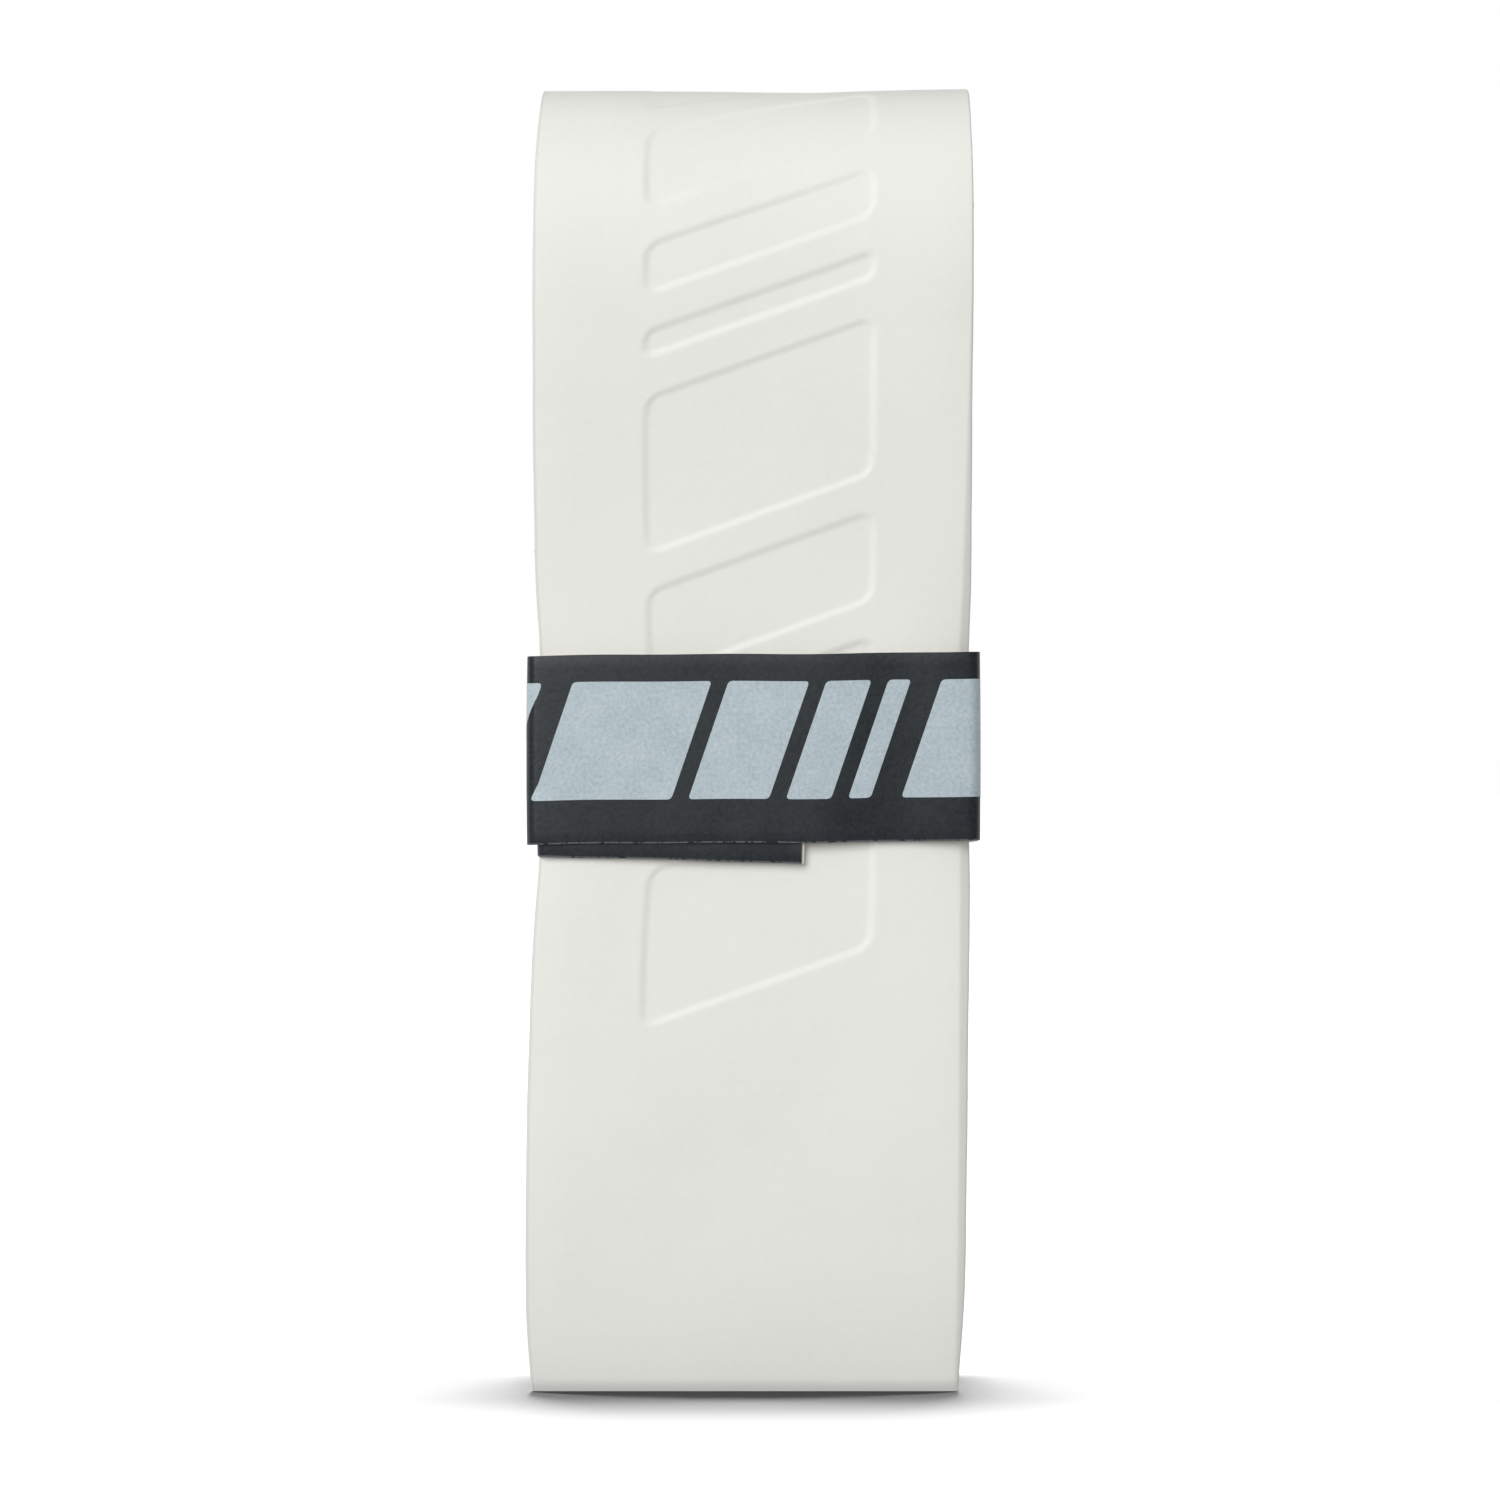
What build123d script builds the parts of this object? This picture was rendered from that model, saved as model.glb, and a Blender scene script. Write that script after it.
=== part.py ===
from build123d import *
import os
from math import cos, sin, radians, pi

os.makedirs("parts", exist_ok=True)

# Flattened coil of cushioned racket grip tape, held by a strip of finishing tape.
# Row frame: X is the tape's width, -Y is the front, +Z is up. The roll stands on
# its lower fold, and the origin is the centre of the box's bottom face.
# All dimensions are in millimetres.

# ---- the grip tape ----
tape_width = 27.0
tape_length = 600.0       # along the middle of the laminate, tip to tail
skin_t = 0.50             # smooth polyurethane top layer
cushion_t = 1.15          # needle felt cushion under it
glue_t = 0.07             # pressure-sensitive adhesive strip along the back
liner_t = 0.09            # its release paper
glue_width = 12.0
liner_width = 13.0
turn_gap = 0.09           # air between one turn and the next

# ---- the coil ----
roll_height = 81.5
top_radius = 9.0          # outer face of the last turn over the top fold
turns_over_top = 4
flat_back, flat_front = 5.1, -5.3       # the lower fold is pressed flat where it stands
next_back, next_front = 3.1, -3.6       # and so is the fold inside it
taper_length = 40.0       # diagonal cut of the inner, starting end
taper_tip = 7.0           # width left at the tip

# ---- the loose tail of the grip tape, behind the roll ----
tail_end_z = 17.0
tail_hinge_z = 31.5       # where the tail leaves the finishing tape's hold
tail_slit = 0.15

# ---- the finishing tape ----
film_t = 0.15
tack_t = 0.05             # adhesive under the film
wrap_gap = 0.02
band_width = 11.7
side_gap = 0.20           # slack beside the roll's cut edges
face_gap = 0.15           # slack in front of and behind the roll
corner_in = 0.35          # inside radius where the film turns a corner
start_x = 3.2             # cut end of the first wrap, on the front
peel_x = -9.0             # where the loose end starts, on the back
peel_end_x = 3.0
peel_slit = 0.06

# ---- worked out from the above ----
tape_t = skin_t + cushion_t + glue_t + liner_t
pitch = tape_t + turn_gap
layer = film_t + tack_t
wrap = layer + wrap_gap
coil_x = wrap / 2         # keeps the whole object's box centred on the origin
top_z = roll_height - top_radius
tops = [top_radius - pitch * (turns_over_top - 1 - k) for k in range(turns_over_top)]
flats = {2: (flat_back, flat_front), 1: (next_back, next_front)}
x_lo, x_hi = coil_x - tape_width / 2, coil_x + tape_width / 2

print("tape thickness", round(tape_t, 3), "pitch", round(pitch, 3))
print("top fold radii, outer face", [round(r, 3) for r in tops])


def lower_fold(k):
    """The fold under the roll from the back run of turn k to the front run of turn k + 1,
    for the outer face: its floor, its corner radii, or one radius where it is a half circle."""
    back, front = tops[k], -tops[k + 1]
    floor = pitch * (turns_over_top - 2 - k)
    if k == 0:
        r = (back - front) / 2
        return {"mid": (back + front) / 2, "r": r, "z": floor + r}
    yb, yf = flats[k]
    return {"floor": floor, "yb": yb, "yf": yf, "back": back - yb, "front": yf - front}


def coil_curve(d, first_z, last_z):
    """The coil at depth d under the outer face, from the inner tip to the outer end,
    as lines (2 points) and arcs (3 points) in the plane of Y and Z."""
    out = []
    z_now = first_z
    for k, r in enumerate(tops):
        r = r - d
        out.append([(-r, z_now), (-r, top_z)])
        out.append([(-r, top_z), (0, top_z + r), (r, top_z)])
        if k == len(tops) - 1:
            out.append([(r, top_z), (r, last_z)])
            break
        f = lower_fold(k)
        if "r" in f:
            rr = f["r"] - d
            out.append([(r, top_z), (r, f["z"])])
            out.append([(f["mid"] + rr, f["z"]), (f["mid"], f["z"] - rr), (f["mid"] - rr, f["z"])])
            z_now = f["z"]
        else:
            rb, rf, z0 = f["back"] - d, f["front"] - d, f["floor"] + d
            yb, yf = f["yb"], f["yf"]
            out.append([(r, top_z), (r, z0 + rb)])
            out.append([(r, z0 + rb), (yb + rb * cos(radians(45)), z0 + rb - rb * sin(radians(45))), (yb, z0)])
            out.append([(yb, z0), (yf, z0)])
            out.append([(yf, z0), (yf - rf * cos(radians(45)), z0 + rf - rf * sin(radians(45))), (yf - rf, z0 + rf)])
            z_now = z0 + rf
    return out


def curve_length(curve):
    total = 0.0
    for e in curve:
        if len(e) == 2:
            total += (Vector(*e[1]) - Vector(*e[0])).length
        else:
            chord = (Vector(*e[2]) - Vector(*e[0])).length
            rise = (Vector(*e[1]) - (Vector(*e[0]) + Vector(*e[2])) * 0.5).length
            r = (chord * chord / 4 + rise * rise) / (2 * rise)
            total += r * (pi if rise > r * 0.99 else pi / 2)
    return total


# the inner tip's height follows from the tape's length
tip_z = top_z - (tape_length - curve_length(coil_curve(tape_t / 2, top_z, tail_end_z)))
print("inner tip at z", round(tip_z, 2))
print("length check", round(curve_length(coil_curve(tape_t / 2, tip_z, tail_end_z)), 2))


def coil_profile(d0, d1):
    """Closed outline of one layer of the laminate, between depths d0 and d1."""
    last_z = tail_hinge_z + tail_slit / 2
    outer = coil_curve(d0, tip_z, last_z)
    inner = coil_curve(d1, tip_z, last_z)
    for e in outer + inner:
        if len(e) == 2:
            Line(e[0], e[1])
        else:
            ThreePointArc(e[0], e[1], e[2])
    Line(outer[0][0], inner[0][0])
    Line(outer[-1][-1], inner[-1][-1])


inner_face = -tops[0]
wedge_lo = inner_face - turn_gap / 2
wedge_hi = inner_face + tape_t + 0.3

# ---- grip_skin: polyurethane top layer, on the outside of every turn ----
with BuildPart() as grip_skin:
    with BuildSketch(Plane.YZ.offset(x_lo)):
        with BuildLine():
            coil_profile(0, skin_t)
        make_face()
    extrude(amount=tape_width)
    # diagonal cut of the starting end, on the innermost run only
    with BuildSketch(Plane.XZ.offset(-wedge_hi)):
        with BuildLine():
            Polyline(
                (x_lo + taper_tip, tip_z - 1),
                (x_hi + 1, tip_z - 1),
                (x_hi + 1, tip_z + taper_length),
                (x_hi, tip_z + taper_length),
                (x_lo + taper_tip, tip_z),
                close=True,
            )
        make_face()
    extrude(amount=wedge_hi - wedge_lo, mode=Mode.SUBTRACT)
grip_skin.part.label = "grip_skin"

# ---- grip_cushion: felt cushion bonded under the skin ----
with BuildPart() as grip_cushion:
    with BuildSketch(Plane.YZ.offset(x_lo)):
        with BuildLine():
            coil_profile(skin_t, skin_t + cushion_t)
        make_face()
    extrude(amount=tape_width)
    with BuildSketch(Plane.XZ.offset(-wedge_hi)):
        with BuildLine():
            Polyline(
                (x_lo + taper_tip, tip_z - 1),
                (x_hi + 1, tip_z - 1),
                (x_hi + 1, tip_z + taper_length),
                (x_hi, tip_z + taper_length),
                (x_lo + taper_tip, tip_z),
                close=True,
            )
        make_face()
    extrude(amount=wedge_hi - wedge_lo, mode=Mode.SUBTRACT)
grip_cushion.part.label = "grip_cushion"

# ---- adhesive_strip: sticky strip down the middle of the cushion ----
with BuildPart() as adhesive_strip:
    with BuildSketch(Plane.YZ.offset(coil_x - glue_width / 2)):
        with BuildLine():
            coil_profile(skin_t + cushion_t, skin_t + cushion_t + glue_t)
        make_face()
    extrude(amount=glue_width)
    with BuildSketch(Plane.XZ.offset(-wedge_hi)):
        with BuildLine():
            Polyline(
                (x_lo + taper_tip, tip_z - 1),
                (x_hi + 1, tip_z - 1),
                (x_hi + 1, tip_z + taper_length),
                (x_hi, tip_z + taper_length),
                (x_lo + taper_tip, tip_z),
                close=True,
            )
        make_face()
    extrude(amount=wedge_hi - wedge_lo, mode=Mode.SUBTRACT)
adhesive_strip.part.label = "adhesive_strip"

# ---- adhesive_liner: release paper over the sticky strip ----
with BuildPart() as adhesive_liner:
    with BuildSketch(Plane.YZ.offset(coil_x - liner_width / 2)):
        with BuildLine():
            coil_profile(tape_t - liner_t, tape_t)
        make_face()
    extrude(amount=liner_width)
    with BuildSketch(Plane.XZ.offset(-wedge_hi)):
        with BuildLine():
            Polyline(
                (x_lo + taper_tip, tip_z - 1),
                (x_hi + 1, tip_z - 1),
                (x_hi + 1, tip_z + taper_length),
                (x_hi, tip_z + taper_length),
                (x_lo + taper_tip, tip_z),
                close=True,
            )
        make_face()
    extrude(amount=wedge_hi - wedge_lo, mode=Mode.SUBTRACT)
adhesive_liner.part.label = "adhesive_liner"

# ---- the tail: the same four layers, loose below the finishing tape at the back ----
tail_top_z = tail_hinge_z - tail_slit / 2
tail_h = tail_top_z - tail_end_z


with BuildPart() as tail_skin:
    with BuildSketch(Plane.XY.offset(tail_end_z)):
        with Locations((coil_x, top_radius - skin_t / 2)):
            Rectangle(tape_width, skin_t)
    extrude(amount=tail_h)
    # the outer corners of the cut end are rounded off
    fillet(tail_skin.edges().filter_by(Axis.Y).group_by(Axis.Z)[0], radius=1.2)
tail_skin.part.label = "tail_skin"

with BuildPart() as tail_cushion:
    with BuildSketch(Plane.XY.offset(tail_end_z)):
        with Locations((coil_x, top_radius - skin_t - cushion_t / 2)):
            Rectangle(tape_width, cushion_t)
    extrude(amount=tail_h)
    fillet(tail_cushion.edges().filter_by(Axis.Y).group_by(Axis.Z)[0], radius=1.2)
tail_cushion.part.label = "tail_cushion"

with BuildPart() as tail_adhesive:
    with BuildSketch(Plane.XY.offset(tail_end_z)):
        with Locations((coil_x, top_radius - skin_t - cushion_t - glue_t / 2)):
            Rectangle(glue_width, glue_t)
    extrude(amount=tail_h)
tail_adhesive.part.label = "tail_adhesive"

with BuildPart() as tail_liner:
    with BuildSketch(Plane.XY.offset(tail_end_z)):
        with Locations((coil_x, top_radius - tape_t + liner_t / 2)):
            Rectangle(liner_width, liner_t)
    extrude(amount=tail_h)
tail_liner.part.label = "tail_liner"

# ---- finishing tape: one strip wound a little over one and a half times round the waist ----
# Height of the strip's lower edge at each corner it passes, in the order it is wound.
z_start = 33.17
z_front_left = 33.62
z_back_left = 33.86
z_back_right = 34.28
z_front_right = 34.52
z_front_left_2 = 34.34
z_back_left_2 = 34.25
z_end = 34.20


front_1, front_2 = -(top_radius + face_gap), -(top_radius + face_gap + wrap)
back_1, back_2 = top_radius + face_gap, top_radius + face_gap + wrap
left_1, left_2 = x_lo - side_gap, x_lo - side_gap - wrap
right_1 = x_hi + side_gap
r = corner_in

# corners: centre, the quadrant's start angle, height of the lower edge
corners = [
    ((left_1 + r, front_1 + r), 180, z_front_left),
    ((left_1 + r, back_1 - r), 90, z_back_left),
    ((right_1 - r, back_1 - r), 0, z_back_right),
    ((right_1 - r, front_2 + r), 270, z_front_right),
    ((left_2 + r, front_2 + r), 180, z_front_left_2),
    ((left_2 + r, back_2 - r), 90, z_back_left_2),
]
# panels across X: inner face's y, the way it faces, and its two ends as (x, lower edge)
panels_x = [
    (front_1, -1, (coil_x + start_x, z_start), (left_1 + r, z_front_left)),
    (back_1, 1, (left_1 + r, z_back_left), (right_1 - r, z_back_right)),
    (front_2, -1, (right_1 - r, z_front_right), (left_2 + r, z_front_left_2)),
    (back_2, 1, (left_2 + r, z_back_left_2), (coil_x + peel_x - peel_slit / 2, z_end)),
]
# panels across Y: inner face's x, the way it faces, and its two ends as (y, lower edge)
panels_y = [
    (left_1, -1, (front_1 + r, z_front_left), (back_1 - r, z_back_left)),
    (right_1, 1, (back_1 - r, z_back_right), (front_2 + r, z_front_right)),
    (left_2, -1, (front_2 + r, z_front_left_2), (back_2 - r, z_back_left_2)),
]


def corner_outline(centre, start, near, far):
    """Quarter ring between two radii, where the strip turns a corner."""
    cx, cy = centre
    CenterArc(centre, far, start, 90)
    CenterArc(centre, near, start, 90)
    for ang in (start, start + 90):
        c, s = cos(radians(ang)), sin(radians(ang))
        Line((cx + near * c, cy + near * s), (cx + far * c, cy + far * s))


def panel_outline(p0, p1):
    """Flat panel whose upper and lower edges slope from one end to the other."""
    (u0, z0), (u1, z1) = p0, p1
    Polyline((u0, z0), (u1, z1), (u1, z1 + band_width), (u0, z0 + band_width), close=True)


# flat panels with sloping edges meet rounded corners of constant height
with BuildPart() as finishing_tape:
    for centre, start, z in corners:
        with BuildSketch(Plane.XY.offset(z)):
            with BuildLine():
                corner_outline(centre, start, r + tack_t, r + layer)
            make_face()
        extrude(amount=band_width)
    for y, out, p0, p1 in panels_x:
        with BuildSketch(Plane.XZ.offset(-(y + out * tack_t))):
            with BuildLine():
                panel_outline(p0, p1)
            make_face()
        extrude(amount=-out * film_t)
    for x, out, p0, p1 in panels_y:
        with BuildSketch(Plane.YZ.offset(x + out * tack_t)):
            with BuildLine():
                panel_outline(p0, p1)
            make_face()
        extrude(amount=out * film_t)
finishing_tape.part.label = "finishing_tape"

with BuildPart() as finishing_adhesive:
    for centre, start, z in corners:
        with BuildSketch(Plane.XY.offset(z)):
            with BuildLine():
                corner_outline(centre, start, r, r + tack_t)
            make_face()
        extrude(amount=band_width)
    for y, out, p0, p1 in panels_x:
        with BuildSketch(Plane.XZ.offset(-y)):
            with BuildLine():
                panel_outline(p0, p1)
            make_face()
        extrude(amount=-out * tack_t)
    for x, out, p0, p1 in panels_y:
        with BuildSketch(Plane.YZ.offset(x)):
            with BuildLine():
                panel_outline(p0, p1)
            make_face()
        extrude(amount=out * tack_t)
finishing_adhesive.part.label = "finishing_adhesive"

# the loose end, on the back, that is lifted to start unwinding the strip
peel_0 = coil_x + peel_x + peel_slit / 2
peel_1 = coil_x + peel_end_x

with BuildPart() as finishing_tape_end:
    with BuildSketch(Plane.XZ.offset(-(back_2 + tack_t))):
        with Locations(((peel_0 + peel_1) / 2, z_end + band_width / 2)):
            Rectangle(peel_1 - peel_0, band_width)
    extrude(amount=-film_t)
    # the cut corners of the loose end are rounded
    fillet(finishing_tape_end.edges().filter_by(Axis.Y).group_by(Axis.X)[-1], radius=1.0)
finishing_tape_end.part.label = "finishing_tape_end"

with BuildPart() as finishing_end_adhesive:
    with BuildSketch(Plane.XZ.offset(-back_2)):
        with Locations(((peel_0 + peel_1) / 2, z_end + band_width / 2)):
            Rectangle(peel_1 - peel_0, band_width)
    extrude(amount=-tack_t)
    fillet(finishing_end_adhesive.edges().filter_by(Axis.Y).group_by(Axis.X)[-1], radius=1.0)
finishing_end_adhesive.part.label = "finishing_end_adhesive"

for piece in (
    grip_skin,
    grip_cushion,
    adhesive_strip,
    adhesive_liner,
    tail_skin,
    tail_cushion,
    tail_adhesive,
    tail_liner,
    finishing_tape,
    finishing_adhesive,
    finishing_tape_end,
    finishing_end_adhesive,
):
    box = piece.part.bounding_box()
    print(
        piece.part.label,
        len(piece.part.solids()),
        round(piece.part.volume, 2),
        [round(v, 3) for v in (box.min.X, box.min.Y, box.min.Z, box.max.X, box.max.Y, box.max.Z)],
    )

print("hinge of the loose end:", round(coil_x + peel_x, 3), round(back_2 + layer, 3))

export_step(grip_skin.part, "parts/grip_skin.step")
export_step(grip_cushion.part, "parts/grip_cushion.step")
export_step(adhesive_strip.part, "parts/adhesive_strip.step")
export_step(adhesive_liner.part, "parts/adhesive_liner.step")
export_step(tail_skin.part, "parts/tail_skin.step")
export_step(tail_cushion.part, "parts/tail_cushion.step")
export_step(tail_adhesive.part, "parts/tail_adhesive.step")
export_step(tail_liner.part, "parts/tail_liner.step")
export_step(finishing_tape.part, "parts/finishing_tape.step")
export_step(finishing_adhesive.part, "parts/finishing_adhesive.step")
export_step(finishing_tape_end.part, "parts/finishing_tape_end.step")
export_step(finishing_end_adhesive.part, "parts/finishing_end_adhesive.step")
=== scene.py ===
"""Looks for the grip tape roll: a flattened coil of smooth cushioned racket grip tape,
held round its waist by a printed strip of finishing tape.

Row frame: X is the tape's width, -Y the front, +Z up. Lengths here are in millimetres
until a mesh is written, in metres.
"""

import math

import bmesh
import bpy
import numpy as np
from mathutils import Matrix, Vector


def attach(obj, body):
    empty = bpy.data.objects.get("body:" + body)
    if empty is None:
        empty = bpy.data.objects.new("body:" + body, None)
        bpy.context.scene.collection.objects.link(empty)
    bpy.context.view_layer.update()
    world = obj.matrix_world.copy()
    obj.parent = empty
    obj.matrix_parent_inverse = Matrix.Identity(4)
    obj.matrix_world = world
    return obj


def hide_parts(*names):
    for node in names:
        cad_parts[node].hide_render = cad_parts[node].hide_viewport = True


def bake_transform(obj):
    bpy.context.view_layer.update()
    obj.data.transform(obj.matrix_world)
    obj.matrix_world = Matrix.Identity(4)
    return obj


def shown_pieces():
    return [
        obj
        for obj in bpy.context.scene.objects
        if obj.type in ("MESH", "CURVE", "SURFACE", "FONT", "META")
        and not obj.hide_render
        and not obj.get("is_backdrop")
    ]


MM = 0.001
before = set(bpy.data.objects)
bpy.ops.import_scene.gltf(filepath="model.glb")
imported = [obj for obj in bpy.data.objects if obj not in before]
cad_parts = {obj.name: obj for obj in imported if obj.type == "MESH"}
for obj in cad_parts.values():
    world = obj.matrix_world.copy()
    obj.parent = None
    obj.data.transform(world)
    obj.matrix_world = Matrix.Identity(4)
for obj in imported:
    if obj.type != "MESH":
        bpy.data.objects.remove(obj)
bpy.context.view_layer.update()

# ------------------------------------------------------------------ the coil's path
HALF = 13.5
SKIN, FELT, GLUE, LINER = 0.50, 1.15, 0.07, 0.09
TAPE_T = SKIN + FELT + GLUE + LINER
PITCH = 1.90
TOPS = [3.3, 5.2, 7.1, 9.0]
TOP_Z = 72.5
COIL_X = 0.11
TIP_Z = 37.38
FLATS = {1: (3.1, -5.1), 2: (5.1, -7.0)}    # before the front's lower end is drawn in
TAIL_END_Z = 17.0
TAIL_HINGE_Z = 31.5
SPLIT_Z = 38.0          # hidden under the finishing tape: the outer turn's loose part starts here

segments = []           # (length, kind, data): the outer face, from the inner tip to the outer end


def seg_line(y0, z0, y1, z1, phi):
    segments.append((math.hypot(y1 - y0, z1 - z0), "line", (y0, z0, y1, z1, phi)))


def seg_arc(cy, cz, r, a0, a1):
    segments.append((r * abs(a1 - a0), "arc", (cy, cz, r, a0, a1)))


marks = {}              # arc length at named places


def here():
    return sum(s[0] for s in segments)


z_now = TIP_Z
for k, r in enumerate(TOPS):
    marks["front", k] = (here(), z_now)
    seg_line(-r, z_now, -r, TOP_Z, math.pi)
    marks["top", k] = here()
    seg_arc(0.0, TOP_Z, r, math.pi, 0.0)
    marks["back", k] = here()
    if k == len(TOPS) - 1:
        seg_line(r, TOP_Z, r, TAIL_END_Z, 0.0)
        break
    back, front = r, -TOPS[k + 1]
    floor = PITCH * (2 - k)
    if k == 0:
        rr = (back - front) / 2
        zc = floor + rr
        seg_line(r, TOP_Z, r, zc, 0.0)
        marks["fold", k] = here()
        seg_arc((back + front) / 2, zc, rr, 0.0, -math.pi)
        z_now = zc
    else:
        yb, yf = FLATS[k]
        rb, rf = back - yb, yf - front
        seg_line(r, TOP_Z, r, floor + rb, 0.0)
        marks["fold", k] = here()
        seg_arc(yb, floor + rb, rb, 0.0, -math.pi / 2)
        seg_line(yb, floor, yf, floor, -math.pi / 2)
        seg_arc(yf, floor + rf, rf, -math.pi / 2, -math.pi)
        z_now = floor + rf
PATH_END = here()
seg_start = np.concatenate([[0], np.cumsum([s[0] for s in segments])[:-1]])


def path(s):
    """Outer face at arc length s: y, z and the outward normal."""
    s = np.asarray(s, float)
    i = np.clip(np.searchsorted(seg_start, s, side="right") - 1, 0, len(segments) - 1)
    y, z = np.zeros_like(s), np.zeros_like(s)
    ny, nz = np.zeros_like(s), np.zeros_like(s)
    for j, (length, kind, d) in enumerate(segments):
        m = i == j
        if not m.any():
            continue
        t = (s[m] - seg_start[j]) / length
        if kind == "line":
            y0, z0, y1, z1, phi = d
            y[m], z[m] = y0 + (y1 - y0) * t, z0 + (z1 - z0) * t
            ny[m], nz[m] = math.cos(phi), math.sin(phi)
        else:
            cy, cz, r, a0, a1 = d
            a = a0 + (a1 - a0) * t
            y[m], z[m] = cy + r * np.cos(a), cz + r * np.sin(a)
            ny[m], nz[m] = np.cos(a), np.sin(a)
    return y, z, ny, nz


def s_front(k, z):
    s0, z0 = marks["front", k]
    return s0 + (z - z0)


def s_back(k, z):
    return marks["back", k] + (TOP_Z - z)


# ------------------------------------------------------------------ where the tape's two edges run
# Left and right edge of the tape in X, along its length: wound by hand, so no turn lies quite
# over the one inside it, and all of them are squeezed a little under the finishing tape.
keys = []


def key(s, left, right):
    keys.append((s, left, right))


lean = [0.05, -0.06, 0.04]
for k in range(3):
    e = lean[k]
    if k > 0:
        key(s_front(k, 12), -13.32 + e, 13.02 + 0.04 * k)
        key(s_front(k, 24), -13.25 + e, 13.12 + 0.06 * k)
    key(s_front(k, 40), -13.05, 13.18)
    key(s_front(k, 50), -13.22 + e, 13.34)
    key(s_front(k, 61), -13.38 + e, 13.40 + 0.03 * k)
    key(marks["top", k], -13.32 - e, 13.38 + e)
    key(marks["top", k] + TOPS[k] * math.pi / 2, -13.12 - e, 13.30 + e)
    key(marks["back", k], -13.36 + e, 13.42 - e)
    key(s_back(k, 60), -13.38 + e, 13.38 - e)
    key(s_back(k, 40), -13.05, 13.18)
    key(s_back(k, 26), -13.28 - e, 13.20 - e)
    key(marks["fold", k], -13.36 - e, 12.90 - e)
    if k < 2:
        key((marks["fold", k] + marks["front", k + 1][0]) / 2, -13.34, 12.84)
        key(marks["front", k + 1][0], -13.34, 12.92)
key(0.0, -13.3, 13.3)
key((marks["fold", 2] + marks["front", 3][0]) / 2, -13.56, 12.60)
for z, left, right in (
    (2.0, -13.88, 12.80),
    (3.7, -14.14, 13.04),
    (7.5, -14.14, 13.17),
    (12.0, -14.12, 13.19),
    (19.0, -14.02, 13.26),
    (25.0, -13.84, 13.35),
    (29.5, -13.60, 13.44),
    (33.0, -13.24, 13.43),
    (40.0, -13.16, 13.22),
    (46.8, -13.25, 13.38),
    (49.5, -13.50, 13.49),
    (54.5, -13.60, 13.51),
    (59.0, -13.69, 13.54),
    (64.0, -13.70, 13.60),
    (70.0, -13.67, 13.66),
):
    key(s_front(3, z), left, right)
t4 = marks["top", 3]
for deg, left, right in ((5, -13.62, 13.65), (30, -13.54, 13.62), (60, -13.32, 13.54), (90, -13.16, 13.47), (130, -13.30, 13.46), (180, -13.46, 13.48)):
    key(t4 + 9.0 * math.radians(deg), left, right)
key(s_back(3, 60), -13.48, 13.44)
key(s_back(3, 48), -13.28, 13.30)
key(s_back(3, 40), -13.08, 13.20)
key(s_back(3, 30), -13.24, 13.34)
key(s_back(3, 17), -13.36, 13.50)
keys.sort()
ks, kl, kr = (np.array(c) for c in zip(*keys))
S_DENSE = np.arange(-6, PATH_END + 6, 0.25)
g = np.exp(-0.5 * (np.arange(-16, 17) * 0.25 / 1.3) ** 2)
g /= g.sum()


def smoothed(values):
    v = np.interp(S_DENSE, ks, values)
    return np.convolve(np.pad(v, 16, mode="edge"), g, mode="valid")


EDGE_L, EDGE_R = smoothed(kl), smoothed(kr)


def wave(s, seed, size):
    """Small smooth wander, the same on every run."""
    rng = np.random.default_rng(seed)
    out = np.zeros_like(np.asarray(s, float))
    for length in (37.0, 19.0, 8.3, 3.1):
        out = out + math.sqrt(length / 37.0) * np.sin(2 * math.pi * (s / length + rng.random()))
    return out * size / 2.2


def edges(s):
    z = path(s)[1]
    calm = 1 - 0.85 * np.exp(-(((z - 40) / 9) ** 2))
    left = np.interp(s, S_DENSE, EDGE_L) + wave(s, 11, 0.035) * calm
    right = np.interp(s, S_DENSE, EDGE_R) + wave(s, 12, 0.035) * calm
    return left, right


def smoothstep(t):
    t = np.clip(t, 0, 1)
    return t * t * (3 - 2 * t)


FRONT_IN = np.array([   # how far the front face stands back from its plane, by height
    (-3, 3.60), (0, 2.63), (1, 2.27), (2.2, 1.90), (3.9, 1.52), (6.4, 1.12), (8, 0.94), (12, 0.66), (17, 0.47), (22, 0.41),
    (26, 0.45), (30, 0.57), (33, 0.69), (36, 0.79), (40, 0.82), (44, 0.81), (47, 0.76), (50, 0.67), (54, 0.51),
    (58, 0.34), (62, 0.18), (68, 0.04), (72.5, 0.0), (90, 0.0),
])
Z_DENSE = np.arange(-3.0, 92.0, 0.1)
g2 = np.exp(-0.5 * (np.arange(-20, 21) * 0.1 / 0.8) ** 2)
g2 /= g2.sum()
FRONT_DENSE = np.convolve(np.pad(np.interp(Z_DENSE, FRONT_IN[:, 0], FRONT_IN[:, 1]), 20, mode="edge"), g2, mode="valid")


CURL = np.array([    # height, where the thinned right edge starts in x, and its width
    (0, 12.52, 0.10), (2, 12.56, 0.24), (5, 12.63, 0.42), (12, 12.71, 0.50), (22, 12.76, 0.56), (33, 12.83, 0.60),
    (40, 12.72, 0.58), (46.5, 12.78, 0.62), (50, 12.97, 0.53), (55, 13.14, 0.40), (61.5, 13.34, 0.24), (68, 13.54, 0.12), (90, 13.6, 0.05),
])


def fold_shape(z):
    """The front runs over into the top fold gradually rather than all at once."""
    u = np.clip((z - 66.0) / 15.5, 0, 0.999)
    c = np.clip((z - TOP_Z) / 9.0, 0, 0.999)
    return np.sqrt(1 - u**3.2) / np.sqrt(1 - c**2)


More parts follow.
